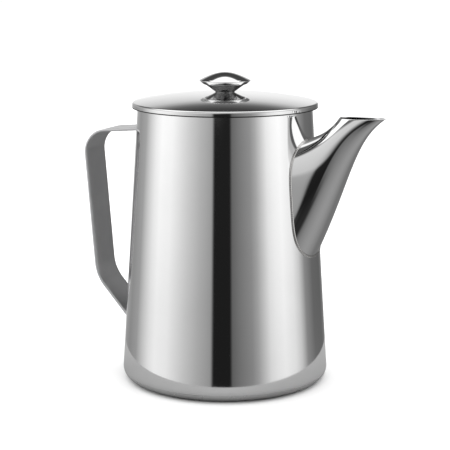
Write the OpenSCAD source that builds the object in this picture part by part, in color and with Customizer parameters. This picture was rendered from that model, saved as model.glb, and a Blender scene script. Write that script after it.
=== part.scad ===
// Coffee pot with a fixed tubular spout, a strap handle and a lift-off lid.
// Origin: centre of the base on the pot's axis. +Z up, +X towards the spout,
// the handle on -X. The pot is symmetric about the XZ plane. Millimetres.

/* [Pot] */
// Outside diameter of the wall's cone where it meets the table
base_d = 135; // [115:1:165]
// Outside diameter of the wall's cone at the rim
rim_d = 112; // [96:1:136]
// Height of the rim above the table
pot_h = 180; // [150:1:220]
// Thickness of the sheet that the wall and the base are made of
wall_t = 0.8; // [0.5:0.1:1.4]
// Radius of the rounded edge between the base and the wall
base_edge_r = 7; // [4:0.5:12]
// Height of the polished seam between the base and the wall
seam_z = 10; // [9:0.5:20]
// Radius of the rolled bead that stiffens the rim
bead_r = 1; // [0.8:0.1:1.4]

/* [Strainer] */
// Diameter of each hole that lets the coffee into the spout
hole_d = 5; // [3:0.5:6]
// Distance between neighbouring holes
hole_pitch = 8; // [7:0.5:10]
// Number of rows of holes
hole_rows = 7; // [3:1:8]

/* [Spout] */
// Height of the lowest point of the spout's root above the table
root_low = 84.8; // [70:0.5:95]
// Distance from the rim down to the highest point of the root
root_drop = 20.7; // [14:0.2:30]
// Width of the root across the pot
root_w = 47.6; // [38:0.2:58]
// Distance from the rim down to the spout's mouth
mouth_drop = 6.2; // [2:0.2:20]
// Distance from the wall out to the back of the mouth
mouth_back = 20.8; // [16:0.2:28]
// Distance from the wall out to the pouring tip
tip_reach = 50.4; // [42:0.2:60]
// Width of the mouth across the pot
mouth_w = 19.4; // [15:0.2:26]
// Thickness of the spout's sheet
spout_t = 0.9; // [0.6:0.1:1.4]
// Radius of the weld bead around the root
weld_r = 0.9; // [0.6:0.1:1.4]

/* [Handle] */
// Width of the strap
strap_w = 26; // [22:1:34]
// Thickness of the strap
strap_t = 1.6; // [1.2:0.1:3]
// Distance from the rim down to the upper corner of the handle
grip_drop = 21.3; // [16:0.1:35]
// Height of the lower corner of the handle above the table
grip_low = 61; // [50:0.2:75]
// Distance from the wall out to the upper corner
grip_out_top = 39.5; // [32:0.1:46]
// Distance from the wall out to the lower corner
grip_out_low = 25; // [18:0.1:30]
// Fall of the upper arm away from the wall, in degrees
arm_fall = 4.8; // [0:0.2:10]
// Fall of the lower arm towards the wall, in degrees
leg_fall = 48.8; // [40:0.2:56]
// Outer radius of the upper bend
bend_top_r = 15.8; // [8:0.5:20]
// Outer radius of the lower bend
bend_low_r = 27; // [10:0.5:32]

/* [Lid] */
// Thickness of the lid's sheet
lid_t = 0.9; // [0.6:0.1:1.4]
// Rise of the dome from its rounded edge to its crown
dome_h = 7.4; // [5:0.2:16]
// Outer radius of the lid's rounded edge
lid_edge_r = 1.4; // [1.2:0.1:2]
// Length of the straight turned-down lip below the rounded edge
lip_len = 2.3; // [1.5:0.1:6]
// Gap between the rim's bead and the lip
lip_gap = 1.4; // [0.6:0.1:3]
// Gap left between the rim and the dome that rests on it
seat_gap = 0.2; // [0.1:0.05:0.5]
// Depth of the locating ring below the rim
ring_depth = 11; // [6:0.5:20]
// Gap between the locating ring and the inside of the wall
ring_gap = 0.6; // [0.4:0.1:2]

/* [Knob] */
// Diameter of the knob across its brim
knob_d = 33; // [26:0.5:40]
// Diameter of the knob's foot
foot_d = 12.6; // [10:0.2:16]
// Height of the knob's foot cone, from the lid to the underside of the cap
cone_h = 5.2; // [4:0.2:10]
// Height of the brim's turned edge
brim_h = 2.5; // [1.5:0.1:4]
// Rise of the cap from its brim to its crown
cap_h = 5.2; // [3:0.2:8]
// Thickness of the knob's sheet
knob_t = 0.9; // [0.6:0.1:1.2]
// Diameter of the screw that holds the knob
screw_d = 4; // [3:0.5:5]
// Running clearance of the screw in its holes, on the diameter
screw_gap = 0.1; // [0.05:0.05:0.3]

/* [Hidden] */
$fn = 120;
eps = 0.01;

// ---- the wall's cone ----
base_r = base_d / 2;
rim_r = rim_d / 2;
taper = (base_r - rim_r) / pot_h;
lean = atan(taper);
function wall_r(z) = base_r - taper * z;

// ---- the rounded edge of the base, tangent to the table and to the wall ----
edge_x = base_r - base_edge_r * (1 + sin(lean)) / cos(lean);

// ---- the rim's bead, flush with the inside of the wall ----
bead_x = wall_r(pot_h - bead_r) - wall_t + bead_r;
bead_z = pot_h - bead_r;

// ---- the lid: a spherical dome that rolls over into a straight lip ----
lid_r = bead_x + bead_r + lip_gap + lid_t;
edge_cx = lid_r - lid_edge_r;
dome_r = (pow(dome_h, 2) - pow(lid_edge_r, 2) + pow(edge_cx, 2))
       / (2 * (dome_h - lid_edge_r));
crown_z = pot_h + seat_gap + dome_r - sqrt(pow(dome_r - lid_t, 2) - pow(bead_x, 2));
dome_cz = crown_z - dome_r;
edge_cz = crown_z - dome_h;
lip_z = edge_cz - lip_len;
edge_ray = asin(edge_cx / (dome_r - lid_edge_r));
ring_r = wall_r(pot_h) - wall_t - ring_gap;
ring_t = lid_t;

// ---- the knob, standing on the crown of the lid ----
brim_r = knob_d / 2;
foot_r = foot_d / 2;
cone_top_z = crown_z + cone_h;
tip_z = cone_top_z + brim_h;
cap_z = tip_z + cap_h;
cap_r = (pow(brim_r, 2) + pow(cap_h, 2)) / (2 * cap_h);
skirt_r = brim_r - 2.2;
boss_r = screw_d / 2 + 1.6;
shank_gap_d = screw_d + screw_gap;
washer_r = screw_d / 2 + 4;
washer_t = 0.8;
washer_z = dome_cz + sqrt(pow(dome_r - lid_t, 2) - pow(washer_r, 2)) - washer_t;
head_r = screw_d / 2 + 1.9;
head_h = 2.4;

// ---- the spout: two side profiles and a width, swept into rings ----
spout_rings = 26;
spout_sides = 40;
mouth_z = pot_h - mouth_drop;
root_high = pot_h - root_drop;
mouth_x = wall_r(mouth_z);
// How much fuller than an ellipse the root's outline is, and how much
// narrower the mouth gets towards its tip
root_fullness = 0.11;
tip_narrowing = 0.44;
width_power = 1.23;
// The underside leaves the wall straight, then turns out to the tip
under_run = 50.2;
under_rise = 65.3;
under_turn = [29.9, -14.3];
// The top leaves the wall in a hollow curve, then climbs to the mouth
top_run = 11.5;
top_rise = 22;
top_turn = [18.1, -5.4];

under_line = [
    [wall_r(root_low), root_low],
    [wall_r(root_low), root_low] + under_run * [cos(under_rise), sin(under_rise)],
    [mouth_x, mouth_z] + under_turn,
    [mouth_x + tip_reach, mouth_z]
];
top_line = [
    [wall_r(root_high), root_high],
    [wall_r(root_high), root_high] + top_run * [cos(top_rise), sin(top_rise)],
    [mouth_x, mouth_z] + top_turn,
    [mouth_x + mouth_back, mouth_z]
];

function bezier(p, s) = p[0] * pow(1 - s, 3) + 3 * p[1] * s * pow(1 - s, 2)
                      + 3 * p[2] * s * s * (1 - s) + p[3] * pow(s, 3);
function unit(v) = v / norm(v);
function backwards(list) = [for (i = [len(list) - 1 : -1 : 0]) list[i]];

// A point of the spout's outside. s runs from the root (0) to the mouth (1);
// t runs around it, from the top line (0) to the underside (180) and back.
function spout_y(s, t) =
    let (full = root_fullness * pow(1 - s, 1.5),
         w = (mouth_w + (root_w - mouth_w) * pow(1 - s, width_power)) / 2,
         narrow = 1 - tip_narrowing * pow(s, 3) * (1 - cos(t)) / 2)
    w * narrow * (sin(t) + full * sin(3 * t)) / (1 - full);
function spout_point(s, t) =
    let (top = bezier(top_line, s),
         under = bezier(under_line, s),
         mid = (top + under) / 2,
         reach = (top - under) / 2,
         y = spout_y(s, t),
         z = mid[1] + reach[1] * cos(t),
         hug = sqrt(pow(wall_r(z), 2) - y * y) - wall_r(z))
    [mid[0] + reach[0] * cos(t) + hug * pow(1 - s, 2), y, z];
function spout_normal(s, t) =
    let (h = 0.001,
         along = spout_point(min(s + h, 1), t) - spout_point(max(s - h, 0), t),
         around = spout_point(s, t + 0.5) - spout_point(s, t - 0.5))
    unit(cross(along, around));
function on_wall(p) = [sqrt(pow(wall_r(p[2]), 2) - p[1] * p[1]), p[1], p[2]];
function spout_inside(s, t) =
    let (p = spout_point(s, t) - spout_t * spout_normal(s, t))
    s == 0 ? on_wall(p) : p;

// ---- swept solids made of rings of points ----
// Faces that join each ring to the next one, and the last to the first when
// the rings close on themselves.
function ring_faces(rings, sides, closed) = [
    for (i = [0 : rings - (closed ? 1 : 2)], j = [0 : sides - 1], half = [0, 1])
        let (a = i * sides + j,
             b = i * sides + (j + 1) % sides,
             c = ((i + 1) % rings) * sides + (j + 1) % sides,
             d = ((i + 1) % rings) * sides + j)
        half == 0 ? [a, b, c] : [a, c, d]
];
function end_faces(rings, sides) = [
    [for (j = [sides - 1 : -1 : 0]) j],
    [for (j = [0 : sides - 1]) (rings - 1) * sides + j]
];
module ring_solid(rings, closed) {
    sides = len(rings[0]);
    polyhedron(
        points = [for (ring = rings) each ring],
        faces = closed ? ring_faces(len(rings), sides, true)
              : concat(ring_faces(len(rings), sides, false), end_faces(len(rings), sides)),
        convexity = 8);
}
// A round bead of radius r along a path of points
module weld_bead(path, r, closed) {
    sides = 10;
    n = len(path);
    rings = [
        for (i = [0 : n - 1])
            let (ahead = path[closed ? (i + 1) % n : min(i + 1, n - 1)],
                 behind = path[closed ? (i + n - 1) % n : max(i - 1, 0)],
                 dir = unit(ahead - behind),
                 side = unit(cross(dir, [path[i][0], path[i][1], 0])),
                 up = cross(side, dir))
            [for (j = [0 : sides - 1])
                path[i] + r * (side * cos(360 * j / sides) + up * sin(360 * j / sides))]
    ];
    ring_solid(rings, closed);
}

// ---- pot ----
// The rounded edge in half section, moved in by t, from the base to the wall
function edge_arc(t) =
    let (r = base_edge_r - t,
         steps = 18)
    [for (i = [0 : steps])
        let (way = -90 + (90 + lean) * i / steps)
        [edge_x + r * cos(way), base_edge_r + r * sin(way)]];

module pot_base() {
    color("silver")
    rotate_extrude() polygon(concat(
        [[0, 0]],
        edge_arc(0),
        [[wall_r(seam_z), seam_z], [wall_r(seam_z) - wall_t / cos(lean), seam_z]],
        backwards(edge_arc(wall_t)),
        [[0, wall_t]]
    ));
}
// Whether a hole at width y and height z opens inside the spout's root
function hole_fits(y, z) =
    let (edge = hole_d / 2 + spout_t + weld_r,
         mid = (root_low + root_high) / 2,
         reach = (root_high - root_low) / 2)
    abs(z - mid) + edge < reach
    && abs(y) + edge < spout_y(0, acos((abs(z - mid) + edge) / reach));
module strainer_holes() {
    first_z = (root_low + root_high) / 2 - (hole_rows - 1) * hole_pitch * sin(60) / 2;
    for (row = [0 : hole_rows - 1]) {
        count = row % 2 == 0 ? 3 : 4;
        z = first_z + row * hole_pitch * sin(60);
        for (col = [0 : count - 1]) {
            y = (col - (count - 1) / 2) * hole_pitch;
            if (hole_fits(y, z))
                translate([base_r / 2, y, z])
                    rotate([0, 90, 0]) cylinder(d = hole_d, h = base_r);
        }
    }
}
module pot_wall() {
    inset = wall_t / cos(lean);
    color("silver")
    difference() {
        rotate_extrude() {
            polygon([
                [wall_r(seam_z) - inset, seam_z],
                [wall_r(seam_z), seam_z],
                [wall_r(bead_z), bead_z],
                [wall_r(bead_z) - inset, bead_z]
            ]);
            translate([bead_x, bead_z]) circle(r = bead_r);
        }
        strainer_holes();
    }
}

// ---- spout ----
module spout() {
    angles = [for (j = [0 : spout_sides - 1]) 360 * j / spout_sides];
    steps = [for (i = [0 : spout_rings - 1]) i / (spout_rings - 1)];
    outside = [for (s = steps) [for (t = angles) spout_point(s, t)]];
    inside = [for (i = [spout_rings - 1 : -1 : 0]) [for (t = angles) spout_inside(steps[i], t)]];
    color("gainsboro") ring_solid(concat(outside, inside), true);
}
module spout_weld() {
    color("darkgray")
    weld_bead([for (j = [0 : spout_sides - 1]) spout_point(0, 360 * j / spout_sides)],
              weld_r, true);
}

// ---- handle ----
// Corners of the strap's outside line, in the XZ plane
grip_top_z = pot_h - grip_drop;
grip_top = [-(wall_r(grip_top_z) + grip_out_top), grip_top_z];
grip_foot = [-(wall_r(grip_low) + grip_out_low), grip_low];
arm_dir = [cos(arm_fall), sin(arm_fall)];
leg_dir = [cos(leg_fall), -sin(leg_fall)];
grip_dir = unit(grip_foot - grip_top);
arm_len = grip_out_top + 20;
leg_len = (grip_out_low + 12) / cos(leg_fall);

function turn_left(v) = [-v[1], v[0]];
// Length that a bend of radius r takes from each side of a corner
function bend_cut(a, b, r) = r * tan(acos(a * b) / 2);
// The bend at corner c, where direction a turns left into direction b. It is
// r in radius on the outside of the strap, and its points lie t further in.
function bend(c, a, b, r, t) =
    let (centre = c - a * bend_cut(a, b, r) + turn_left(a) * r,
         turn = acos(a * b),
         steps = 16)
    [for (i = [0 : steps])
        let (way = turn * i / steps)
        centre - (r - t) * (turn_left(a) * cos(way) - a * sin(way))];
// The strap's line, moved in by t from its outside
function strap_line(t) = concat(
    [grip_top + arm_dir * arm_len - turn_left(arm_dir) * t],
    bend(grip_top, -arm_dir, grip_dir, bend_top_r, t),
    bend(grip_foot, grip_dir, leg_dir, bend_low_r, t),
    [grip_foot + leg_dir * leg_len + turn_left(leg_dir) * t]);
module handle() {
    color("darkgray")
    difference() {
        rotate([90, 0, 0])
            linear_extrude(height = strap_w, center = true)
                polygon(concat(strap_line(0), backwards(strap_line(strap_t))));
        translate([0, 0, -eps])
            cylinder(r1 = wall_r(-eps), r2 = wall_r(pot_h), h = pot_h + eps);
    }
}
// Height at which a line from point p in direction d meets the wall on -X
function meets_wall(p, d) =
    let (s = (-p[0] - wall_r(p[1])) / (d[0] - taper * d[1]))
    p[1] + s * d[1];
// Two beads on the wall, above and below an end of the strap
module strap_welds(low, high) {
    steps = 8;
    for (z = [low, high])
        weld_bead([
            for (i = [0 : steps])
                let (y = strap_w * (i / steps - 0.5))
                [-sqrt(pow(wall_r(z), 2) - y * y), y, z]
        ], weld_r, false);
}
module handle_weld_top() {
    outer = meets_wall(grip_top, arm_dir);
    color("darkgray") strap_welds(outer - strap_t / cos(arm_fall), outer);
}
module handle_weld_low() {
    outer = meets_wall(grip_foot, leg_dir);
    color("darkgray") strap_welds(outer, outer + strap_t / cos(leg_fall));
}

// ---- lid ----
// Half section of the solid under the lid's outside, moved in by t
module lid_section(t) {
    far = dome_r * 1.2;
    intersection() {
        translate([0, dome_cz]) circle(r = dome_r - t, $fn = 720);
        polygon([
            [0, lip_z],
            [(lip_z - dome_cz) * tan(edge_ray), lip_z],
            [far * sin(edge_ray), dome_cz + far * cos(edge_ray)],
            [0, dome_cz + far]
        ]);
    }
    translate([edge_cx, edge_cz]) circle(r = lid_edge_r - t);
    translate([0, lip_z]) square([lid_r - t, lip_len]);
}
module lid_cover() {
    color("lightgray")
    difference() {
        rotate_extrude() difference() {
            lid_section(0);
            lid_section(lid_t);
            translate([0, lip_z - eps]) square([lid_r - lid_t, lip_len]);
        }
        translate([0, 0, lip_z])
            cylinder(d = shank_gap_d, h = crown_z - lip_z + 1, $fn = 48);
    }
}
module lid_ring() {
    low = pot_h - ring_depth;
    hem_r = ring_t * 0.8;
    color("lightgray")
    rotate_extrude() intersection() {
        union() {
            translate([ring_r - ring_t, low + hem_r]) square([ring_t, crown_z]);
            translate([ring_r - hem_r, low + hem_r]) circle(r = hem_r, $fn = 32);
        }
        union() {
            translate([0, low - 1]) square([lid_r, pot_h - low]);
            intersection() {
                translate([0, dome_cz]) circle(r = dome_r - lid_t, $fn = 720);
                translate([0, low]) square([lid_r, crown_z]);
            }
        }
    }
}

// ---- knob ----
// The cap's dome in half section, moved in by t, from the axis to the brim
function cap_dome(t) =
    let (r = cap_r - t,
         rim_angle = acos((cap_r - cap_h) / r),
         steps = 24)
    [for (i = [0 : steps])
        [r * sin(rim_angle * i / steps), cap_z - cap_r + r * cos(rim_angle * i / steps)]];

module knob_cap() {
    color("whitesmoke")
    rotate_extrude() polygon(concat(
        cap_dome(0),
        [[skirt_r, cone_top_z], [skirt_r - knob_t, cone_top_z]],
        backwards(cap_dome(knob_t))
    ));
}
module knob_cone() {
    color("gainsboro")
    rotate_extrude() difference() {
        polygon([
            [0, crown_z],
            [foot_r, crown_z],
            [foot_r, crown_z + 0.8],
            [skirt_r - 0.4, cone_top_z],
            [0, cone_top_z]
        ]);
        polygon([
            [0, crown_z + knob_t],
            [foot_r - knob_t, crown_z + knob_t],
            [skirt_r - 0.4 - knob_t * 1.6, cone_top_z + eps],
            [0, cone_top_z + eps]
        ]);
        square([shank_gap_d / 2, pot_h * 2]);
    }
}
module knob_boss() {
    low = crown_z + knob_t;
    high = cap_z - knob_t - 0.3;
    color("gray")
    difference() {
        translate([0, 0, low]) cylinder(r = boss_r, h = high - low, $fn = 48);
        translate([0, 0, low - 1])
            cylinder(d = shank_gap_d, h = high - low - 0.6, $fn = 48);
    }
}
module knob_washer() {
    color("gray")
    translate([0, 0, washer_z]) difference() {
        cylinder(r = washer_r, h = washer_t, $fn = 48);
        translate([0, 0, -1]) cylinder(d = shank_gap_d, h = washer_t + 2, $fn = 48);
    }
}
module knob_screw() {
    shank_h = cap_z - knob_t - 3.2 - washer_z;
    color("gray") {
        translate([0, 0, washer_z]) cylinder(d = screw_d, h = shank_h, $fn = 48);
        difference() {
            translate([0, 0, washer_z - head_h]) cylinder(r = head_r, h = head_h, $fn = 48);
            translate([0, 0, washer_z - head_h - 1]) for (turn = [0, 90])
                rotate([0, 0, turn]) translate([-2, -0.4, 0]) cube([4, 0.8, 2.4]);
        }
    }
}

pot_wall();
pot_base();
spout();
spout_weld();
handle();
handle_weld_top();
handle_weld_low();
lid_cover();
lid_ring();
knob_cap();
knob_cone();
knob_boss();
knob_screw();
knob_washer();
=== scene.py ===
# %% [markdown]
# A polished steel coffee pot: a tapered body, a welded tubular spout, a flat strap
# handle and a lift-off lid with a turned knob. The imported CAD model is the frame.
# Every piece here is made around it, in metres, with +Z up, the spout on +X and
# the handle on -X.

# %% Load the frame
import math

import bmesh
import bpy
import numpy as np
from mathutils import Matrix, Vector


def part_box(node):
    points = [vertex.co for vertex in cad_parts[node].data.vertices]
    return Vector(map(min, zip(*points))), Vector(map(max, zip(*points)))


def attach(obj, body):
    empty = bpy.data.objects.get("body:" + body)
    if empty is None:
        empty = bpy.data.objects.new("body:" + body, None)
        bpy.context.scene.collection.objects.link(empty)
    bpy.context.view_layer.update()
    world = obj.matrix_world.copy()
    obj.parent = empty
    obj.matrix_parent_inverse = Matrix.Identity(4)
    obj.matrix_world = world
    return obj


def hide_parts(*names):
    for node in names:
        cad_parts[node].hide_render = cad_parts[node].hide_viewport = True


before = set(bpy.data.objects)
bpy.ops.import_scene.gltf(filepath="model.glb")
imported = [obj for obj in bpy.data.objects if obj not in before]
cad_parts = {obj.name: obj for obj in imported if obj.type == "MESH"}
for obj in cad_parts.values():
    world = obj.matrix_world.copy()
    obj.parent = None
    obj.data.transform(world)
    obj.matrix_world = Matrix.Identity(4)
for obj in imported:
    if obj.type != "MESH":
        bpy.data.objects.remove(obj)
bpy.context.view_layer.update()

MM = 0.001

# %% [markdown]
# **Sizes.** A pot like this is drawn as a few circles and straight lines. The CAD
# boxes give where each piece starts and ends, and the few sizes that a box can't
# give, such as a sheet's thickness, are the ones the CAD was drawn with.

# %% Sizes of the pot, the lid and the knob
wall_low, wall_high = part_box("pot_wall")
lid_low, lid_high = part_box("lid_cover")
ring_low, ring_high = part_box("lid_ring")
cap_low, cap_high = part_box("knob_cap")

POT_H = wall_high.z
SEAM_Z = wall_low.z
SHEET = 0.8 * MM
TAPER = 11.5 / 180.0
SEAM_R = wall_high.x
EDGE_R = 7.0 * MM
BEAD_R = 1.0 * MM
WELD_R = 0.9 * MM


def wall_r(z):
    """Outside radius of the wall at height z."""
    return SEAM_R - TAPER * (z - SEAM_Z)


LEAN = math.atan(TAPER)
EDGE_X = wall_r(0) - EDGE_R * (1 + math.sin(LEAN)) / math.cos(LEAN)
BEAD_Z = POT_H - BEAD_R
BEAD_X = wall_r(BEAD_Z) - SHEET + BEAD_R

LID_T = 0.9 * MM
LID_EDGE_R = 1.4 * MM
LIP_LEN = 2.3 * MM
LID_R = lid_high.x
CROWN_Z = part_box("knob_cone")[0].z
LIP_Z = lid_low.z
EDGE_CX = LID_R - LID_EDGE_R
DOME_H = CROWN_Z - LIP_Z - LIP_LEN
DOME_R = (DOME_H**2 - LID_EDGE_R**2 + EDGE_CX**2) / (2 * (DOME_H - LID_EDGE_R))
DOME_CZ = CROWN_Z - DOME_R
EDGE_CZ = CROWN_Z - DOME_H
EDGE_RAY = math.asin(EDGE_CX / (DOME_R - LID_EDGE_R))
print(f"wall {SEAM_R / MM:.2f} mm at the seam, {wall_r(POT_H) / MM:.2f} mm at the rim")
print(f"lid {LID_R / MM:.2f} mm, dome radius {DOME_R / MM:.1f} mm, crown {CROWN_Z / MM:.2f}")

# %% [markdown]
# **Node trees.** Both the shaders and the Geometry Nodes trees are built in code.
# A few small helpers keep that readable. They add a node and fill its inputs, mix two
# colours, start a tree with named inputs, and run a tree on an object. The last one
# keeps the result as a plain mesh, so that nothing is left live on the piece.

# %% Helpers for node trees


def put(tree, kind, inputs=None, **settings):
    """Adds a node. A value in inputs is a number, or an output to link from."""
    node = tree.nodes.new(kind)
    for key, value in settings.items():
        setattr(node, key, value)
    for key, value in (inputs or {}).items():
        if isinstance(value, bpy.types.NodeSocket):
            tree.links.new(value, node.inputs[key])
        else:
            node.inputs[key].default_value = value
    return node


def math_node(tree, operation, *values):
    """A sum, product or other rule. Each value is a number or an output."""
    return put(tree, "ShaderNodeMath", dict(enumerate(values)), operation=operation).outputs[0]


def blend(tree, factor, first, second):
    """A colour mix: the first colour where factor is 0, the second where it is 1."""
    return put(tree, "ShaderNodeMix", {"Factor": factor, 6: first, 7: second},
               data_type="RGBA").outputs[2]


def new_tree(name, kind, inputs, outputs):
    """A new tree with named inputs and outputs, and its two end nodes' sockets."""
    tree = bpy.data.node_groups.new(name, kind)
    for label, socket, value in inputs:
        item = tree.interface.new_socket(label, in_out="INPUT", socket_type="NodeSocket" + socket)
        if value is not None:
            item.default_value = value
    for label, socket in outputs:
        tree.interface.new_socket(label, in_out="OUTPUT", socket_type="NodeSocket" + socket)
    return tree, tree.nodes.new("NodeGroupInput").outputs, tree.nodes.new("NodeGroupOutput").inputs


def grow(piece, tree, sizes):
    """Runs a Geometry Nodes tree on a piece and keeps the result as its mesh."""
    modifier = piece.modifiers.new(tree.name, "NODES")
    modifier.node_group = tree
    for item in tree.interface.items_tree:
        if item.in_out == "INPUT" and item.name in sizes:
            modifier[item.identifier] = sizes[item.name]
    bpy.context.view_layer.update()
    graph = bpy.context.evaluated_depsgraph_get()
    mesh = bpy.data.meshes.new_from_object(piece.evaluated_get(graph))
    piece.modifiers.remove(modifier)
    piece.data = mesh
    return piece


# %% [markdown]
# **Polish.** A mirror polish is never perfect: the mop leaves faint hairlines, and
# hands leave soft patches that are a little duller. One shader group makes both and
# puts out a roughness and a height. The metals below place it with their own values.

# %% Shader group: polish wear
polish, p_in, p_out = new_tree(
    "polish wear", "ShaderNodeTree",
    [("Vector", "Vector", None), ("Roughness", "Float", 0.05), ("Patches", "Float", 0.02),
     ("Hairlines", "Float", 0.01), ("Hairline scale", "Vector", (300.0, 300.0, 2500.0))],
    [("Roughness", "Float"), ("Height", "Float"), ("Patch mask", "Float")])
patch_noise = put(polish, "ShaderNodeTexNoise", {
    "Vector": p_in["Vector"], "Scale": 26.0, "Detail": 4.0, "Roughness": 0.55})
patch = put(polish, "ShaderNodeMapRange", {
    "Value": patch_noise.outputs["Fac"], "From Min": 0.42, "From Max": 0.68}).outputs["Result"]
stretched = put(polish, "ShaderNodeVectorMath", {
    0: p_in["Vector"], 1: p_in["Hairline scale"]}, operation="MULTIPLY").outputs[0]
hair = put(polish, "ShaderNodeTexNoise", {
    "Vector": stretched, "Scale": 1.0, "Detail": 3.0, "Roughness": 0.7}).outputs["Fac"]
rough = math_node(polish, "MULTIPLY_ADD", patch, p_in["Patches"], p_in["Roughness"])
rough = math_node(polish, "MULTIPLY_ADD", hair, p_in["Hairlines"], rough)
polish.links.new(rough, p_out["Roughness"])
polish.links.new(hair, p_out["Height"])
polish.links.new(patch, p_out["Patch mask"])
print("group:", polish.name)

# %% [markdown]
# ** Metals.** The pot is stainless steel in several finishes. The sheet is polished to
# a mirror, and the knob's cone is a darker polish. The strap is brushed along its
# length, so its pattern follows a UV map laid along the strap. The welds are duller
# and slightly tinted. The lowest edge of the lid's lip is painted near black, a painted
# shadow line for the dark gap under the lid. The turned parts inside the
# knob and the inside of the pot keep a plainer, satin finish.

# %% Materials


HAIRLINE_DEPTH = 0.02 * MM


def metal(name, tint, patch_tint, roughness, patches, hairlines, scale, bump, uv=False):
    """A steel whose gloss, tone and hairlines come from the polish group."""
    material = bpy.data.materials.new(name)
    material.use_nodes = True
    tree = material.node_tree
    tree.nodes.clear()
    place = put(tree, "ShaderNodeTexCoord").outputs["UV" if uv else "Object"]
    wear = put(tree, "ShaderNodeGroup", {
        "Vector": place, "Roughness": roughness, "Patches": patches, "Hairlines": hairlines,
        "Hairline scale": scale}, node_tree=polish)
    tone = blend(tree, wear.outputs["Patch mask"], (*tint, 1.0), (*patch_tint, 1.0))
    relief = put(tree, "ShaderNodeBump", {
        "Height": wear.outputs["Height"], "Strength": bump, "Distance": HAIRLINE_DEPTH})
    steel = put(tree, "ShaderNodeBsdfPrincipled", {
        "Base Color": tone, "Metallic": 1.0, "IOR": 2.5,
        "Roughness": wear.outputs["Roughness"], "Normal": relief.outputs["Normal"]})
    put(tree, "ShaderNodeOutputMaterial", {"Surface": steel.outputs[0]})
    return material


MIRROR = metal("mirror polished steel", (0.86, 0.86, 0.86), (0.835, 0.835, 0.835),
               0.035, 0.02, 0.015, (250.0, 250.0, 2600.0), 0.03)
BRUSHED = metal("brushed strap steel", (0.74, 0.74, 0.745), (0.66, 0.66, 0.67),
                0.26, 0.05, 0.12, (2600.0, 60.0, 60.0), 0.35, uv=True)
WELD = metal("weld bead steel", (0.70, 0.69, 0.68), (0.55, 0.53, 0.52),
             0.16, 0.10, 0.08, (1500.0, 1500.0, 1500.0), 0.3)
PLAIN = metal("plain workshop steel", (0.62, 0.62, 0.62), (0.52, 0.52, 0.52),
              0.24, 0.08, 0.10, (500.0, 500.0, 4000.0), 0.3)
INSIDE = metal("satin inside", (0.72, 0.72, 0.72), (0.64, 0.64, 0.64),
               0.20, 0.08, 0.10, (250.0, 250.0, 3000.0), 0.2)
KNOB_STEEL = metal("dark polished knob steel", (0.42, 0.42, 0.42), (0.38, 0.38, 0.38),
                   0.06, 0.03, 0.02, (250.0, 250.0, 2600.0), 0.03)
# Near-black steel for the lip's lowest edge: a painted shadow line for the dark gap between the
# lid and the wall.
PAINTED_SHADOW_LINE = metal("painted shadow line steel", (0.07, 0.07, 0.07), (0.05, 0.05, 0.05),
                 0.30, 0.05, 0.10, (900.0, 900.0, 900.0), 0.3)
print("materials:", [m.name for m in (
    MIRROR, BRUSHED, WELD, PLAIN, INSIDE, KNOB_STEEL, PAINTED_SHADOW_LINE)])

# %% [markdown]
# **Turned pieces.** The wall, the base, the lid and the knob are all spun or pressed
# round, so one rule makes them: a half section carried around the axis. A lathe tree
# does it. It takes the section as a line of points (x is the radius, y the height),
# and sweeps it along a small circle whose own radius is taken off the section first.

# %% Geometry Nodes: the lathe
HUB = 0.002
lathe, l_in, l_out = new_tree(
    "lathe", "GeometryNodeTree",
    [("Section", "Geometry", None), ("Steps", "Int", 192), ("Hub radius", "Float", HUB),
     ("Material", "Material", None)],
    [("Geometry", "Geometry")])
section = put(lathe, "GeometryNodeMeshToCurve", {"Mesh": l_in["Section"]}).outputs[0]
inward = put(lathe, "ShaderNodeCombineXYZ", {
    "X": math_node(lathe, "MULTIPLY", l_in["Hub radius"], -1.0)}).outputs[0]
section = put(lathe, "GeometryNodeSetPosition", {
    "Geometry": section, "Offset": inward}).outputs[0]
circle = put(lathe, "GeometryNodeCurvePrimitiveCircle", {
    "Resolution": l_in["Steps"], "Radius": l_in["Hub radius"]}).outputs[0]
circle = put(lathe, "GeometryNodeSetCurveNormal", {"Curve": circle}, mode="Z_UP").outputs[0]
skin = put(lathe, "GeometryNodeCurveToMesh", {
    "Curve": circle, "Profile Curve": section}).outputs[0]
skin = put(lathe, "GeometryNodeMergeByDistance", {
    "Geometry": skin, "Distance": 0.000005}).outputs[0]
skin = put(lathe, "GeometryNodeSetShadeSmooth", {"Geometry": skin}).outputs[0]
skin = put(lathe, "GeometryNodeRealizeInstances", {"Geometry": skin}).outputs[0]
skin = put(lathe, "GeometryNodeSetMaterial", {
    "Geometry": skin, "Material": l_in["Material"]}).outputs[0]
lathe.links.new(skin, l_out["Geometry"])
print("tree:", lathe.name)

# %% Helpers for finished pieces


def line_object(name, points, closed):
    """A new object that holds only a line of points, for a tree to work on."""
    count = len(points)
    edges = [(i, (i + 1) % count) for i in range(count if closed else count - 1)]
    mesh = bpy.data.meshes.new(name)
    mesh.from_pydata([tuple(p) + (0.0,) * (3 - len(p)) for p in points], edges, [])
    piece = bpy.data.objects.new(name, mesh)
    bpy.context.scene.collection.objects.link(piece)
    return piece


SHARP = math.radians(35.0)


def face_outwards(piece):
    """Makes the faces point outwards and keeps only real corners sharp."""
    work = bmesh.new()
    work.from_mesh(piece.data)
    if work.calc_volume(signed=True) < 0:
        bmesh.ops.reverse_faces(work, faces=work.faces)
    loose = sum(1 for e in work.edges if not e.is_manifold)
    volume = work.calc_volume(signed=True)
    work.to_mesh(piece.data)
    work.free()
    piece.data.shade_smooth()
    piece.data.set_sharp_from_angle(angle=SHARP)
    print(f"{piece.name}: {len(piece.data.polygons)} faces, {volume * 1e9:.0f} mm3,"
          f" {loose} open edges")


def hand_over(piece, body, slot, *nodes):
    """Says which body carries the piece and hides the parts it stands for; the finish given as
    slot is not used.
    """
    face_outwards(piece)
    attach(piece, body)
    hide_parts(*nodes)


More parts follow.
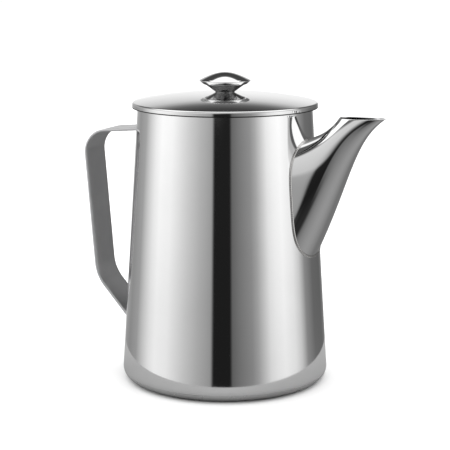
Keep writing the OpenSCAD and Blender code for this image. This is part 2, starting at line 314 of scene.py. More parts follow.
def turned(name, points, closed, material, steps=192):
    """A turned piece, from points (radius, height) of its section."""
    piece = line_object(name, [(x, -z) for x, z in points], closed)
    return grow(piece, lathe, {"Steps": steps, "Hub radius": HUB, "Material": material})


def arc(cx, cz, r, start, end, steps):
    """Points of an arc in the section plane, with angles in degrees."""
    turns = [math.radians(start + (end - start) * i / steps) for i in range(steps + 1)]
    return [(cx + r * math.cos(a), cz + r * math.sin(a)) for a in turns]


def straight(a, b, pieces):
    """Points from a towards b, without b itself."""
    return [(a[0] + (b[0] - a[0]) * i / pieces, a[1] + (b[1] - a[1]) * i / pieces)
            for i in range(pieces)]


def line_inside(piece, material, is_inside):
    """Gives the inner faces of a sheet their own finish."""
    piece.data.materials.append(material)
    index = len(piece.data.materials) - 1
    for face in piece.data.polygons:
        if is_inside(face):
            face.material_index = index


# %% [markdown]
# **Wall.** The real wall is one sheet, rolled, welded and spun to a taper, with its
# rim rolled into a bead that guards the fingers and stiffens the mouth. In section it
# is two straight lines and a circle. It is cut into many rows, because the strainer
# holes are punched next, and small faces keep the polish smooth around them.

# %% Pot wall
inset = SHEET / math.cos(LEAN)
bead_from = -math.degrees(math.acos(-0.2))
bead = arc(BEAD_X, BEAD_Z, BEAD_R, bead_from, 180.0, 26)
outer_foot, inner_foot = (wall_r(SEAM_Z), SEAM_Z), (wall_r(SEAM_Z) - inset, SEAM_Z)
wall_section = (straight(outer_foot, bead[0], 44) + bead
                + straight(bead[-1], inner_foot, 44)[1:] + [inner_foot])
wall = turned("wall_sheet", wall_section, True, MIRROR, steps=256)

# %% [markdown]
# **Strainer.** Behind the spout the wall is punched with a staggered field of holes
# that hold back the grounds. The punches are one repeated cylinder on a rule: rows a
# pitch times the sine of 60 degrees apart, three and four holes in turn. So a tree
# lays them out and takes them from the wall with its Boolean node.

# %% Geometry Nodes: the strainer
HOLE_D, HOLE_PITCH, HOLE_ROWS = 5.0 * MM, 8.0 * MM, 7
ROOT_LOW, ROOT_HIGH = 84.8 * MM, POT_H - 20.7 * MM
strainer, s_in, s_out = new_tree(
    "strainer", "GeometryNodeTree",
    [("Wall", "Geometry", None), ("Hole diameter", "Float", HOLE_D),
     ("Pitch", "Float", HOLE_PITCH), ("Rows", "Int", HOLE_ROWS),
     ("First row height", "Float", 0.1), ("Punch length", "Float", 0.06),
     ("Material", "Material", None)],
    [("Geometry", "Geometry")])
spots = put(strainer, "GeometryNodePoints", {
    "Count": math_node(strainer, "MULTIPLY", s_in["Rows"], 4.0)}).outputs[0]
index = put(strainer, "GeometryNodeInputIndex").outputs[0]
row = math_node(strainer, "FLOOR", math_node(strainer, "DIVIDE", index, 4.0))
column = math_node(strainer, "MODULO", index, 4.0)
in_row = math_node(strainer, "ADD", math_node(strainer, "MODULO", row, 2.0), 3.0)
middle = math_node(strainer, "MULTIPLY", math_node(strainer, "SUBTRACT", in_row, 1.0), 0.5)
across = math_node(strainer, "MULTIPLY",
                   math_node(strainer, "SUBTRACT", column, middle), s_in["Pitch"])
row_step = math_node(strainer, "MULTIPLY", s_in["Pitch"], math.sin(math.radians(60)))
height = math_node(strainer, "MULTIPLY_ADD", row, row_step, s_in["First row height"])
spot = put(strainer, "ShaderNodeCombineXYZ", {
    "X": s_in["Punch length"], "Y": across, "Z": height}).outputs[0]
spots = put(strainer, "GeometryNodeSetPosition", {
    "Geometry": spots, "Position": spot}).outputs[0]
punch = put(strainer, "GeometryNodeMeshCylinder", {
    "Vertices": 28, "Radius": math_node(strainer, "MULTIPLY", s_in["Hole diameter"], 0.5),
    "Depth": s_in["Punch length"]}).outputs["Mesh"]
punches = put(strainer, "GeometryNodeInstanceOnPoints", {
    "Points": spots, "Instance": punch, "Rotation": (0.0, math.radians(90), 0.0),
    "Selection": math_node(strainer, "LESS_THAN", column, in_row)}).outputs[0]
punches = put(strainer, "GeometryNodeRealizeInstances", {"Geometry": punches}).outputs[0]
cut = put(strainer, "GeometryNodeMeshBoolean", {
    "Mesh 1": s_in["Wall"], "Mesh 2": punches}, operation="DIFFERENCE").outputs[0]
cut = put(strainer, "GeometryNodeRealizeInstances", {"Geometry": cut}).outputs[0]
cut = put(strainer, "GeometryNodeSetMaterial", {
    "Geometry": cut, "Material": s_in["Material"]}).outputs[0]
strainer.links.new(cut, s_out["Geometry"])

# %% Punch the wall
face_outwards(wall)
first_row = (ROOT_LOW + ROOT_HIGH) / 2 - (HOLE_ROWS - 1) * HOLE_PITCH * math.sin(
    math.radians(60)) / 2
grow(wall, strainer, {
    "Hole diameter": HOLE_D, "Pitch": HOLE_PITCH, "Rows": HOLE_ROWS,
    "First row height": first_row, "Punch length": wall_r(0), "Material": MIRROR})


def faces_axis(face):
    """True for a face of the wall's inside, below the bead."""
    c, n = face.center, face.normal
    return c.x * n.x + c.y * n.y < -0.5 * math.hypot(c.x, c.y) and c.z < BEAD_Z - BEAD_R


line_inside(wall, INSIDE, faces_axis)
hand_over(wall, "pot", "polished_steel", "pot_wall")

# %% [markdown]
# **Base.** A shallow pressed pan closes the wall. Its rounded edge is what stands on
# the table, and the seam above it is welded and polished away, so the two pieces meet
# with the same slope and nothing shows outside.

# %% Pot base
edge_turn = math.degrees(LEAN)
outside = arc(EDGE_X, EDGE_R, EDGE_R, -90.0, edge_turn, 30)
lining = arc(EDGE_X, EDGE_R, EDGE_R - SHEET, -90.0, edge_turn, 20)
floor_out = straight((0.0, 0.0), (EDGE_X, 0.0), 8)
floor_in = straight((EDGE_X, SHEET), (0.0, SHEET), 8)[1:] + [(0.0, SHEET)]
base_section = floor_out + outside + [outer_foot, inner_foot] + lining[::-1] + floor_in
base = turned("base_pan", base_section, False, MIRROR, steps=256)
line_inside(base, INSIDE, lambda f: (
    f.center.x * f.normal.x + f.center.y * f.normal.y < -0.02 * math.hypot(
        f.center.x, f.center.y) or f.normal.z > 0.7) and f.center.z < SEAM_Z - 0.0001
    and math.hypot(f.center.x, f.center.y) < wall_r(f.center.z) - 0.0004)
hand_over(base, "pot", "polished_steel", "pot_base")

# %% [markdown]
# **Spout.** A tapered tube of thin sheet: wide and nearly round where it leaves the
# wall, narrow at the lip, where its underside turns out into a pouring tip. It could
# be sculpted, but two side lines and a width say it exactly, so it is lofted. Each
# ring is drawn from the top line, the underside line and the width at that place.

# %% Spout shape
SPOUT_T = 0.9 * MM
MOUTH_Z = POT_H - 6.2 * MM
ROOT_W, MOUTH_W = 47.6 * MM, 19.4 * MM
ROOT_FULLNESS, TIP_NARROWING = 0.11, 0.44


def towards(start, length, degrees):
    """The point that lies a length in millimetres from start, at an angle."""
    a = math.radians(degrees)
    return start + length * MM * np.array([math.cos(a), math.sin(a)])


under_root = np.array([wall_r(ROOT_LOW), ROOT_LOW])
top_root = np.array([wall_r(ROOT_HIGH), ROOT_HIGH])
mouth = np.array([wall_r(MOUTH_Z), MOUTH_Z])
UNDER = [under_root, towards(under_root, 50.2, 65.3),
         mouth + np.array([29.9, -14.3]) * MM, mouth + np.array([50.4, 0.0]) * MM]
TOP = [top_root, towards(top_root, 11.5, 22.0),
       mouth + np.array([18.1, -5.4]) * MM, mouth + np.array([20.8, 0.0]) * MM]


def bezier(p, s):
    """A point of a cubic curve."""
    return (p[0] * (1 - s)**3 + 3 * p[1] * s * (1 - s)**2
            + 3 * p[2] * s * s * (1 - s) + p[3] * s**3)


def spout_point(s, t):
    """Outside of the spout: s runs from root to mouth, t around from the top."""
    top, under = bezier(TOP, s), bezier(UNDER, s)
    mid, reach = (top + under) / 2, (top - under) / 2
    full = ROOT_FULLNESS * (1 - s)**1.5
    width = (MOUTH_W + (ROOT_W - MOUTH_W) * (1 - s)) / 2
    narrow = 1 - TIP_NARROWING * s**3 * (1 - math.cos(t)) / 2
    y = width * narrow * (math.sin(t) + full * math.sin(3 * t)) / (1 - full)
    z = mid[1] + reach[1] * math.cos(t)
    hug = math.sqrt(wall_r(z)**2 - y * y) - wall_r(z)
    return np.array([mid[0] + reach[0] * math.cos(t) + hug * (1 - s)**2, y, z])


def spout_normal(s, t):
    """Outward normal of the spout's outside."""
    h = 0.001
    along = spout_point(min(s + h, 1), t) - spout_point(max(s - h, 0), t)
    around = spout_point(s, t + h) - spout_point(s, t - h)
    normal = np.cross(along, around)
    return normal / np.linalg.norm(normal)


# %% Loft the spout


def loft(name, rings, material, closed=True):
    """Skins rings of points. Closed means the last ring joins the first one."""
    count, sides = len(rings), len(rings[0])
    faces = []
    for i in range(count if closed else count - 1):
        for j in range(sides):
            a, b = i * sides + j, i * sides + (j + 1) % sides
            after = ((i + 1) % count) * sides
            faces.append((a, b, after + (j + 1) % sides, after + j))
    if not closed:
        faces.append(tuple(reversed(range(sides))))
        faces.append(tuple(range((count - 1) * sides, count * sides)))
    mesh = bpy.data.meshes.new(name)
    mesh.from_pydata([tuple(p) for ring in rings for p in ring], [], faces)
    mesh.materials.append(material)
    piece = bpy.data.objects.new(name, mesh)
    bpy.context.scene.collection.objects.link(piece)
    return piece


SPOUT_STEPS, SPOUT_SIDES = 72, 112
turns = [2 * math.pi * j / SPOUT_SIDES for j in range(SPOUT_SIDES)]
steps = [i / SPOUT_STEPS for i in range(SPOUT_STEPS + 1)]
outer = [[spout_point(s, t) for t in turns] for s in steps]
inner = [[spout_point(s, t) - SPOUT_T * spout_normal(s, t) for t in turns] for s in steps]
lip = []
for k in range(1, 8):
    swing = math.pi * k / 8
    ring = []
    for p, q, before in zip(outer[-1], inner[-1], outer[-2]):
        along = (p - before) / np.linalg.norm(p - before)
        ring.append((p + q) / 2 + (p - q) / 2 * math.cos(swing)
                    + along * SPOUT_T / 2 * math.sin(swing))
    lip.append(ring)
spout = loft("spout_tube", outer + lip + inner[::-1], MIRROR)
hand_over(spout, "pot", "polished_steel", "spout")

# %% [markdown]
# **Welds.** A bead laid by hand is a row of small ripples, each one a place where the
# torch paused. The bead follows a line on the wall, so a tree sweeps a round section
# along it and lets the ripple swell the section at an even pitch. The same tree makes
# the ring at the spout's root and the short beads at the handle's ends.

# %% Geometry Nodes: the weld bead
bead_tree, b_in, b_out = new_tree(
    "weld bead", "GeometryNodeTree",
    [("Path", "Geometry", None), ("Bead radius", "Float", WELD_R),
     ("Ripple pitch", "Float", 1.2 * MM), ("Ripple depth", "Float", 0.1),
     ("Step", "Float", 0.3 * MM), ("Sides", "Int", 14), ("Material", "Material", None)],
    [("Geometry", "Geometry")])
path = put(bead_tree, "GeometryNodeMeshToCurve", {"Mesh": b_in["Path"]}).outputs[0]
path = put(bead_tree, "GeometryNodeResampleCurve", {
    "Curve": path, "Length": b_in["Step"]}, mode="LENGTH").outputs[0]
length = put(bead_tree, "GeometryNodeSplineParameter").outputs["Length"]
phase = math_node(bead_tree, "FRACT",
                  math_node(bead_tree, "DIVIDE", length, b_in["Ripple pitch"]))
dip = math_node(bead_tree, "MULTIPLY", math_node(bead_tree, "POWER", phase, 2.0),
                b_in["Ripple depth"])
swell = math_node(bead_tree, "SUBTRACT", 1.0, dip)
round_section = put(bead_tree, "GeometryNodeCurvePrimitiveCircle", {
    "Resolution": b_in["Sides"], "Radius": b_in["Bead radius"]}).outputs[0]
skin = put(bead_tree, "GeometryNodeCurveToMesh", {
    "Curve": path, "Profile Curve": round_section, "Scale": swell,
    "Fill Caps": True}).outputs[0]
skin = put(bead_tree, "GeometryNodeSetShadeSmooth", {"Geometry": skin}).outputs[0]
skin = put(bead_tree, "GeometryNodeRealizeInstances", {"Geometry": skin}).outputs[0]
skin = put(bead_tree, "GeometryNodeSetMaterial", {
    "Geometry": skin, "Material": b_in["Material"]}).outputs[0]
bead_tree.links.new(skin, b_out["Geometry"])

# %% Weld at the spout's root
root_weld = line_object("spout_root_weld", [spout_point(0, t) for t in turns], True)
grow(root_weld, bead_tree, {
    "Bead radius": WELD_R, "Ripple pitch": 1.3 * MM, "Ripple depth": 0.10,
    "Step": 0.33 * MM, "Sides": 12, "Material": WELD})
hand_over(root_weld, "pot", "weld_steel", "spout_weld")

# %% [markdown]
# **Handle.** One flat bar, 26 mm wide, bent twice and welded on. It could be a solid
# with bevels, but its section never changes, so a rounded section is carried along
# the strap's middle line. The ends are run on until they meet the round wall.

# %% Strap line
STRAP_W, STRAP_T = 26.0 * MM, 1.6 * MM
GRIP_TOP_Z, GRIP_LOW_Z = POT_H - 21.3 * MM, 61.0 * MM
GRIP_OUT_TOP, GRIP_OUT_LOW = 39.5 * MM, 25.0 * MM
BEND_TOP_R, BEND_LOW_R = 15.8 * MM, 27.0 * MM
ARM_LEN, LEG_LEN = 30 * MM, 20 * MM
corner_top = np.array([-(wall_r(GRIP_TOP_Z) + GRIP_OUT_TOP), GRIP_TOP_Z])
corner_low = np.array([-(wall_r(GRIP_LOW_Z) + GRIP_OUT_LOW), GRIP_LOW_Z])
ARM_FALL, LEG_FALL = math.radians(4.8), math.radians(48.8)
arm_dir = np.array([math.cos(ARM_FALL), math.sin(ARM_FALL)])
leg_dir = np.array([math.cos(LEG_FALL), -math.sin(LEG_FALL)])
grip_dir = (corner_low - corner_top) / np.linalg.norm(corner_low - corner_top)


def left_of(v):
    """The direction a quarter turn to the left of v."""
    return np.array([-v[1], v[0]])


def bend(corner, a, b, radius, pieces):
    """Points and headings of a bend whose outside radius is given."""
    turn = math.acos(float(np.dot(a, b)))
    centre = corner - a * radius * math.tan(turn / 2) + left_of(a) * radius
    spots = []
    for i in range(pieces + 1):
        way = turn * i / pieces
        out = left_of(a) * math.cos(way) - a * math.sin(way)
        spots.append((centre - (radius - STRAP_T / 2) * out,
                      a * math.cos(way) + left_of(a) * math.sin(way)))
    return spots


arm_end = corner_top + arm_dir * ARM_LEN - left_of(arm_dir) * STRAP_T / 2
leg_end = corner_low + leg_dir * LEG_LEN + left_of(leg_dir) * STRAP_T / 2
strap_path = ([(arm_end, -arm_dir)] + bend(corner_top, -arm_dir, grip_dir, BEND_TOP_R, 28)
              + bend(corner_low, grip_dir, leg_dir, BEND_LOW_R, 20) + [(leg_end, leg_dir)])

# %% Strap section and skin


def strap_outline():
    """Rounded corners of the strap's section: across (y) and through (n)."""
    r, spots = 0.45 * MM, []
    for cy, cn, start in ((1, 1, 0), (-1, 1, 90), (-1, -1, 180), (1, -1, 270)):
        for k in range(5):
            a = math.radians(start + 90 * k / 4)
            spots.append((cy * (STRAP_W / 2 - r) + r * math.cos(a),
                          cn * (STRAP_T / 2 - r) + r * math.sin(a)))
        if start in (0, 180):
            spots += [(cy * (STRAP_W / 2 - r) * f, cn * STRAP_T / 2) for f in
                      (0.75, 0.5, 0.25, 0.0, -0.25, -0.5, -0.75)]
    return spots


def run_to_wall(x, y, z, dx, dz):
    """Moves a point along (dx, dz) until it lies just inside the wall's skin."""
    for _ in range(40):
        gap = math.hypot(x, y) - (wall_r(z) - 0.3 * MM)
        x, z = x + gap * dx, z + gap * dz
    return np.array([x, y, z])


outline = strap_outline()
rings = []
for spot, heading in strap_path:
    side = left_of(heading)
    rings.append([np.array([spot[0] + n * side[0], y, spot[1] + n * side[1]])
                  for y, n in outline])
rings.insert(0, [run_to_wall(*p, *arm_dir) for p in rings[0]])
rings.append([run_to_wall(*p, *leg_dir) for p in rings[-1]])
rings = [rings[0]] + rings[2:-2] + [rings[-1]]
dense = []
for a, b in zip(rings[:-1], rings[1:]):
    gap = np.linalg.norm(a[0] - b[0])
    pieces = max(1, int(gap / (4 * MM)))
    dense += [[p + (q - p) * k / pieces for p, q in zip(a, b)] for k in range(pieces)]
dense.append(rings[-1])
strap = loft("handle_strap", dense, BRUSHED, closed=False)

# %% UV map laid along the strap
along = [0.0]
for a, b in zip(dense[:-1], dense[1:]):
    along.append(along[-1] + float(np.linalg.norm(np.mean(a, 0) - np.mean(b, 0))))
uv_map = strap.data.uv_layers.new(name="along_strap")
for face in strap.data.polygons:
    for corner in face.loop_indices:
        vertex = strap.data.loops[corner].vertex_index
        ring_at, side_at = divmod(vertex, len(outline))
        y, n = outline[side_at]
        uv_map.data[corner].uv = (y + n, along[ring_at])
print(f"strap: {along[-1] / MM:.0f} mm of bar")
hand_over(strap, "pot", "satin_steel", "handle")

# %% Beads that hold the handle


def wall_line(z):
    """Points on the wall, across the strap, at height z."""
    half = STRAP_W / 2
    ys = [half * (i / 8 - 1) for i in range(17)]
    return [(-math.sqrt(wall_r(z)**2 - y * y), y, z) for y in ys]


def meets_wall(start, heading):
    """Height at which a line from start meets the wall on the handle's side."""
    s = (-start[0] - wall_r(start[1])) / (heading[0] - TAPER * heading[1])
    return start[1] + s * heading[1]


top_z, low_z = meets_wall(corner_top, arm_dir), meets_wall(corner_low, leg_dir)
for label, heights, node in (
        ("handle_top_bead", (top_z - STRAP_T / math.cos(ARM_FALL), top_z), "handle_weld_top"),
        ("handle_low_bead", (low_z, low_z + STRAP_T / math.cos(LEG_FALL)), "handle_weld_low")):
    points = [wall_line(z) for z in heights]
    mesh = bpy.data.meshes.new(label)
    count = len(points[0])
    mesh.from_pydata(points[0] + points[1],
                     [(i + k * count, i + k * count + 1) for k in (0, 1)
                      for i in range(count - 1)], [])
    beads = bpy.data.objects.new(label, mesh)
    bpy.context.scene.collection.objects.link(beads)
    grow(beads, bead_tree, {
        "Bead radius": WELD_R, "Ripple pitch": 1.4 * MM, "Ripple depth": 0.12,
        "Step": 0.35 * MM, "Sides": 12, "Material": WELD})
    hand_over(beads, "pot", "weld_steel", node)

# %% [markdown]
# **Lid.** A disc pressed to a shallow dome, its edge rolled over to a short lip that
# hangs outside the rim. The polish shows every change of slope, so the section joins
# the dome, the rounded edge and the lip exactly at their common tangents.

# %% Lid cover
SCREW_HOLE_R = 2.05 * MM
dome_stop = 90 - math.degrees(EDGE_RAY)


def dome_line(r, first_x, pieces):
    """The dome in section, from the screw's hole out to the rounded edge."""
    start = math.degrees(math.acos(first_x / r))
    return arc(0.0, DOME_CZ, r, start, dome_stop, pieces)


lid_outside = (dome_line(DOME_R, SCREW_HOLE_R, 40)
               + arc(EDGE_CX, EDGE_CZ, LID_EDGE_R, dome_stop, 0.0, 18)[1:])
lid_outside += straight((LID_R, EDGE_CZ), (LID_R, LIP_Z + LID_T / 2), 6)[1:]
HEM_ROLL = LID_T / 2
lip_roll = arc(LID_R - HEM_ROLL, LIP_Z + HEM_ROLL, HEM_ROLL, 0.0, -180.0, 12)
lid_inside = (dome_line(DOME_R - LID_T, SCREW_HOLE_R, 40)
              + arc(EDGE_CX, EDGE_CZ, LID_EDGE_R - LID_T, dome_stop, 0.0, 10)[1:])
lid_section = lid_outside + lip_roll + lid_inside[::-1]
lid = turned("lid_shell", lid_section, True, MIRROR, steps=256)
line_inside(lid, INSIDE, lambda f: f.normal.z < -0.3 and f.center.z > LIP_Z + 0.5 * MM
            and math.hypot(f.center.x, f.center.y) < LID_R - 0.4 * MM)
# Paints the lowest 0.75 mm of the lip near black: a painted shadow line under the lid.
line_inside(lid, PAINTED_SHADOW_LINE, lambda f: f.center.z < LIP_Z + 0.75 * MM)
hand_over(lid, "lid", "polished_steel", "lid_cover")

# %% [markdown]
# **Locating ring.** Welded under the lid, it plugs the mouth and keeps the lid from
# sliding off while pouring. Its lower edge is hemmed, so that it enters easily.

# %% Locating ring
RING_R, HEM_R, RING_LOW = ring_high.x, LID_T * 0.8, ring_low.z


def under_dome(x):
    """Height of the dome's inside at radius x."""
    return DOME_CZ + math.sqrt((DOME_R - LID_T)**2 - x * x)


hem = arc(RING_R - HEM_R, RING_LOW + HEM_R, HEM_R, 0.0, -200.0, 20)
ring_section = ([(RING_R - LID_T, under_dome(RING_R - LID_T)), (RING_R, under_dome(RING_R))]
                + straight((RING_R, POT_H), hem[0], 4) + hem
                + [(RING_R - LID_T, RING_LOW + 2.2 * HEM_R), (RING_R - LID_T, POT_H)])
ring = turned("lid_plug_ring", ring_section, True, INSIDE)
hand_over(ring, "lid", "polished_steel", "lid_ring")

# %% [markdown]
# **Knob.** Two pressings and a turned boss, held by one screw from inside the lid. The
# cap swells in the middle and thins out to a sharp brim that is turned under. The
# cone below it stands on a short neck. Both are lathe work again.

# %% Knob cap
BRIM_R = cap_high.x
CAP_Z, CONE_TOP = cap_high.z, cap_low.z
BRIM_H, BRIM_INSET = 2.5 * MM, 2.2 * MM
TIP_Z = CONE_TOP + BRIM_H
CAP_H = CAP_Z - TIP_Z
SKIRT_R = BRIM_R - BRIM_INSET
KNOB_T, TIP_R = 0.9 * MM, 0.3 * MM


def cap_top(x):
    """Height of the cap: a round crown that hollows a little towards the brim."""
    u = min(x / BRIM_R, 1.0)
    return TIP_Z + CAP_H * (0.85 * (1 - u * u) + 0.15 * 0.5 * (1 + math.cos(math.pi * u)))


xs = [BRIM_R * i / 40 for i in range(40)]
cap_outside = [(x, cap_top(x)) for x in xs]
tip = arc(BRIM_R - TIP_R, TIP_Z - 0.28 * MM, TIP_R, 80.0, -50.0, 8)
cap_under = [(SKIRT_R + 0.5 * MM, CONE_TOP + 0.35 * MM), (SKIRT_R, CONE_TOP),
             (SKIRT_R - KNOB_T, CONE_TOP + 0.1 * MM)]
lining = [(x, cap_top(x) - KNOB_T) for x in xs if x < SKIRT_R - KNOB_T * 1.2][::-1]
cap_section = cap_outside[:-1] + tip + cap_under + lining
cap = turned("knob_cap_shell", cap_section, False, MIRROR)
hand_over(cap, "lid", "polished_steel", "knob_cap")

# %% Knob cone
FOOT_R = 6.3 * MM
NECK_H, FOOT_ROUND = 0.3 * MM, 0.2 * MM
flare = SKIRT_R - KNOB_T
cone_outside = ([(SCREW_HOLE_R, CROWN_Z), (FOOT_R - FOOT_ROUND, CROWN_Z)]
                + arc(FOOT_R - FOOT_ROUND, CROWN_Z + FOOT_ROUND, FOOT_ROUND, -90, 0, 4)[1:]
                + [(FOOT_R, CROWN_Z + NECK_H)]
                + straight((FOOT_R, CROWN_Z + NECK_H), (flare, CONE_TOP), 8)[1:]
                + [(flare, CONE_TOP)])
cone_inside = [(flare - KNOB_T * 1.6, CONE_TOP), (FOOT_R - KNOB_T, CROWN_Z + KNOB_T),
               (SCREW_HOLE_R, CROWN_Z + KNOB_T)]
cone = turned("knob_cone_shell", cone_outside + cone_inside, True, KNOB_STEEL)
hand_over(cone, "lid", "polished_steel", "knob_cone")

# %% Plain parts inside the knob
for node in ("knob_boss", "knob_screw", "knob_washer"):
    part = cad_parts[node]
    part.data.materials.clear()
    part.data.materials.append(PLAIN)
    print("plain finish:", node)

# %% [markdown]
# **Table.** The pot stands on a white table in a light tent. The wide floor is what
# the eye sees. Polished steel, however, mirrors only a small table around the foot, so
# a second disc, seen only in reflections, gives the pale band at the rounded edge.

# %% Floor and table disc
DISC_SIDES = 96


def flat_disc(name, radius, z, grey):
    """A matt disc on the pot's axis, for the stage only."""
    mesh = bpy.data.meshes.new(name)
    bearings = [2 * math.pi * i / DISC_SIDES for i in range(DISC_SIDES)]
    mesh.from_pydata([(radius * math.cos(a), radius * math.sin(a), z) for a in bearings],
                     [], [tuple(range(DISC_SIDES))])
    material = bpy.data.materials.new(name)
    material.use_nodes = True
    shader = material.node_tree.nodes["Principled BSDF"]
    shader.inputs["Base Color"].default_value = (grey, grey, grey, 1.0)
    shader.inputs["Roughness"].default_value = 0.9
    shader.inputs["Specular IOR Level"].default_value = 0.0
    mesh.materials.append(material)
    disc = bpy.data.objects.new(name, mesh)
    bpy.context.scene.collection.objects.link(disc)
    return disc


VIEW_TURN = math.radians(23.0)
FLOOR_R, FLOOR_Z, FLOOR_GREY = 6.0, -0.6 * MM, 0.8
TABLE_R, TABLE_Z, TABLE_GREY = 0.128, -0.2 * MM, 0.30
ground = flat_disc("pale_floor", FLOOR_R, FLOOR_Z, FLOOR_GREY)
ground.visible_glossy = False
table = flat_disc("table_in_reflections", TABLE_R, TABLE_Z, TABLE_GREY)
table.visible_camera = False
table.visible_shadow = False
table.visible_diffuse = False

# %% [markdown]
# **Light tent.** The mirror finish takes its whole look from what stands around it.
# Two broad white panels stand left and right, with a dark gap between them where the
# camera looks in. The gap is widest at table height and closes a little above it.
# Behind the pot the tent is pale at table height and dark above. A soft box hangs
# overhead under a dark ceiling. Cards would need a studio of objects, so the world
# shader says all this by direction only: grey ramps around the pot, mixed by height.

# %% World shader
world = bpy.data.worlds.new("light tent")
bpy.context.scene.world = world
world.use_nodes = True
sky = world.node_tree
sky.nodes.clear()
direction = put(sky, "ShaderNodeTexCoord").outputs["Generated"]
turned_dir = put(sky, "ShaderNodeVectorRotate", {
    "Vector": direction, "Angle": -VIEW_TURN}, rotation_type="Z_AXIS").outputs[0]
split = put(sky, "ShaderNodeSeparateXYZ", {0: turned_dir}).outputs
right, back, up = split[0], split[1], split[2]
bearing = math_node(sky, "ARCTAN2", right, math_node(sky, "MULTIPLY", back, -1.0))
bearing01 = math_node(sky, "MULTIPLY_ADD", bearing, 0.5 / math.pi, 0.5)
climb = math_node(sky, "ARCSINE", up)


def ramp(tree, value, stops, low, high):
    """A grey ramp. Each stop is (position, brightness), between low and high."""
    node = put(tree, "ShaderNodeValToRGB", {"Fac": value})
    band = node.color_ramp
    while len(band.elements) > 1:
        band.elements.remove(band.elements[-1])
    for i, (place, grey) in enumerate(stops):
        at = (place - low) / (high - low)
        stop = band.elements[0] if i == 0 else band.elements.new(at)
        stop.position = at
        stop.color = (grey, grey, grey, 1.0)
    return node.outputs["Color"]


def around(stops):
    """Brightness by bearing: 0 is towards the camera, 90 to the right, in degrees."""
    return ramp(sky, bearing01, stops, -180, 180)


def by_height(stops):
    """Brightness or a mix factor by height over the horizon, in degrees."""
    return ramp(sky, climb01, stops, -90, 90)


climb01 = math_node(sky, "MULTIPLY_ADD", climb, 1 / math.pi, 0.5)
LEVEL = [(-180, 0.82), (-168, 0.80), (-158, 0.40), (-140, 0.30), (-121, 0.38), (-108, 0.66),
         (-97, 0.88), (-87, 1.0), (-70, 0.94), (-61, 0.82), (-46, 0.62),
         (-31, 0.456), (-24, 0.40), (-16, 0.33), (-13.5, 0.013), (6.0, 0.013),
         (8.5, 0.13), (17, 0.188), (31, 0.273), (38, 0.386), (46, 0.60),
         (53, 0.81), (61, 0.92), (72, 1.0), (87, 0.885), (97, 0.67), (108, 0.28),
         (125, 0.15), (150, 0.13), (163, 0.25), (172, 0.76), (180, 0.82)]
GAIN = [(-90, 0.95), (-10, 0.97), (-4, 1.10), (2, 1.24), (90, 1.24)]
ABOVE = [(-180, 1.0), (-158, 0.45), (-121, 0.45), (-97, 0.90), (-60, 0.86), (-31, 0.72),
         (-22, 0.68), (-17, 0.60), (-12, 0.46), (-7, 0.30), (-3, 0.12), (1, 0.03), (6, 0.03),
         (9, 0.13), (17, 0.188), (31, 0.273), (38, 0.386), (46, 0.60), (53, 0.81), (72, 1.0),
         (97, 0.67), (108, 0.28), (150, 0.13), (163, 0.25), (172, 0.90), (180, 1.0)]
LIFT = [(-90, 0.0), (0.5, 0.0), (4.5, 1.0), (90, 1.0)]
UPPER = [(-180, 0.055), (-150, 0.07), (-120, 0.35), (-95, 0.80), (-60, 0.80), (-20, 0.70),
         (20, 0.60), (55, 0.60), (90, 0.6), (120, 0.25), (150, 0.07), (180, 0.055)]
RISE = [(-90, 0.0), (8, 0.0), (12.5, 0.08), (15.5, 0.17), (18.3, 0.30), (20.8, 0.56),
        (22.8, 0.80), (24.6, 0.92), (28, 1.0), (90, 1.0)]
FLOOR = [(-180, 0.20), (-150, 0.24), (-100, 0.30), (-25, 0.30), (-14, 0.12), (-7, 0.025),
         (10, 0.025), (15, 0.07), (21, 0.16), (28, 0.205), (38, 0.25), (54, 0.29),
         (72, 0.325), (88, 0.34), (104, 0.32), (120, 0.265), (135, 0.19), (150, 0.19),
         (180, 0.20)]
SINK = [(-90, 1.0), (-20, 1.0), (-11.5, 0.0), (90, 0.0)]
CEILING = [(-90, 0.0), (43, 0.0), (50, 1.0), (90, 1.0)]
CEILING_GREY = 0.13
at_level = put(sky, "ShaderNodeVectorMath", {0: around(LEVEL), 1: by_height(GAIN)},
               operation="MULTIPLY").outputs[0]
lifted = blend(sky, by_height(LIFT), at_level, around(ABOVE))
tent = blend(sky, by_height(RISE), lifted, around(UPPER))
below = blend(sky, by_height(SINK), tent, around(FLOOR))
roofed = blend(sky, by_height(CEILING), below, (CEILING_GREY, CEILING_GREY, CEILING_GREY, 1.0))

# %% Soft box overhead, and what the camera sees behind the pot


def window(value, low, high, soft):
    """1 between low and high, with soft edges, else 0."""
    up_side = put(sky, "ShaderNodeMapRange", {
        "Value": value, "From Min": low - soft, "From Max": low + soft},
        interpolation_type="SMOOTHSTEP").outputs["Result"]
    down_side = put(sky, "ShaderNodeMapRange", {
        "Value": value, "From Min": high + soft, "From Max": high - soft},
        interpolation_type="SMOOTHSTEP").outputs["Result"]
    return math_node(sky, "MULTIPLY", up_side, down_side)


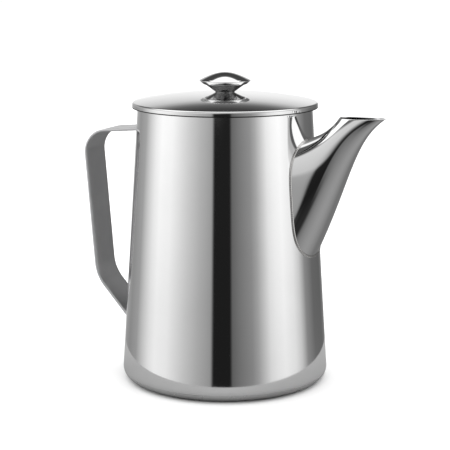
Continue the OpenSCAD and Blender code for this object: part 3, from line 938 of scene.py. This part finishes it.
BOX_GREY, BACKDROP_GREY = 1.35, 1.02
safe_up = math_node(sky, "MAXIMUM", up, 0.05)
box_x = window(math_node(sky, "DIVIDE", right, safe_up), -1.15, 1.15, 0.12)
box_y = window(math_node(sky, "DIVIDE", back, safe_up), -0.20, 0.84, 0.06)
in_box = math_node(sky, "MULTIPLY", box_x, box_y)
lit = blend(sky, in_box, roofed, (BOX_GREY, BOX_GREY, BOX_GREY, 1.0))
seen = put(sky, "ShaderNodeLightPath").outputs["Is Camera Ray"]
view_mix = blend(sky, seen, lit, (BACKDROP_GREY, BACKDROP_GREY, BACKDROP_GREY, 1.0))
glow = put(sky, "ShaderNodeBackground", {"Color": view_mix, "Strength": 1.0})
put(sky, "ShaderNodeOutputWorld", {"Surface": glow.outputs[0]})
print("world:", len(sky.nodes), "nodes")

# %% Lamp for the table


table_lamp = bpy.data.lights.new("table_lamp", "SUN")
table_lamp.angle = math.radians(150)
table_lamp.energy = 3.5
lamp_holder = bpy.data.objects.new("table_lamp", table_lamp)
lamp_holder.visible_glossy = False
bpy.context.scene.collection.objects.link(lamp_holder)
print("table lamp:", table_lamp.energy)

# %% [markdown]
# **Camera.** A long lens from a little above the lid, turned towards the spout's side,
# so that the handle's inner face and the whole spout show.

# %% Camera
TILT = math.radians(11.07)
DISTANCE, AIM_Z = 0.9461, 0.0999
camera = bpy.data.cameras.new("studio camera")
camera.lens, camera.sensor_width = 116.27, 36.0
camera.clip_start, camera.clip_end = 0.05, 50.0
stand = bpy.data.objects.new("studio camera", camera)
back_dir = Vector((math.sin(VIEW_TURN) * math.cos(TILT),
                   -math.cos(VIEW_TURN) * math.cos(TILT), math.sin(TILT)))
stand.location = Vector((0, 0, AIM_Z)) + back_dir * DISTANCE
stand.rotation_euler = (-back_dir).to_track_quat("-Z", "Y").to_euler()
bpy.context.scene.collection.objects.link(stand)
bpy.context.scene.camera = stand
bpy.context.scene.view_settings.view_transform = "Standard"
print("camera at", [round(v, 4) for v in stand.location])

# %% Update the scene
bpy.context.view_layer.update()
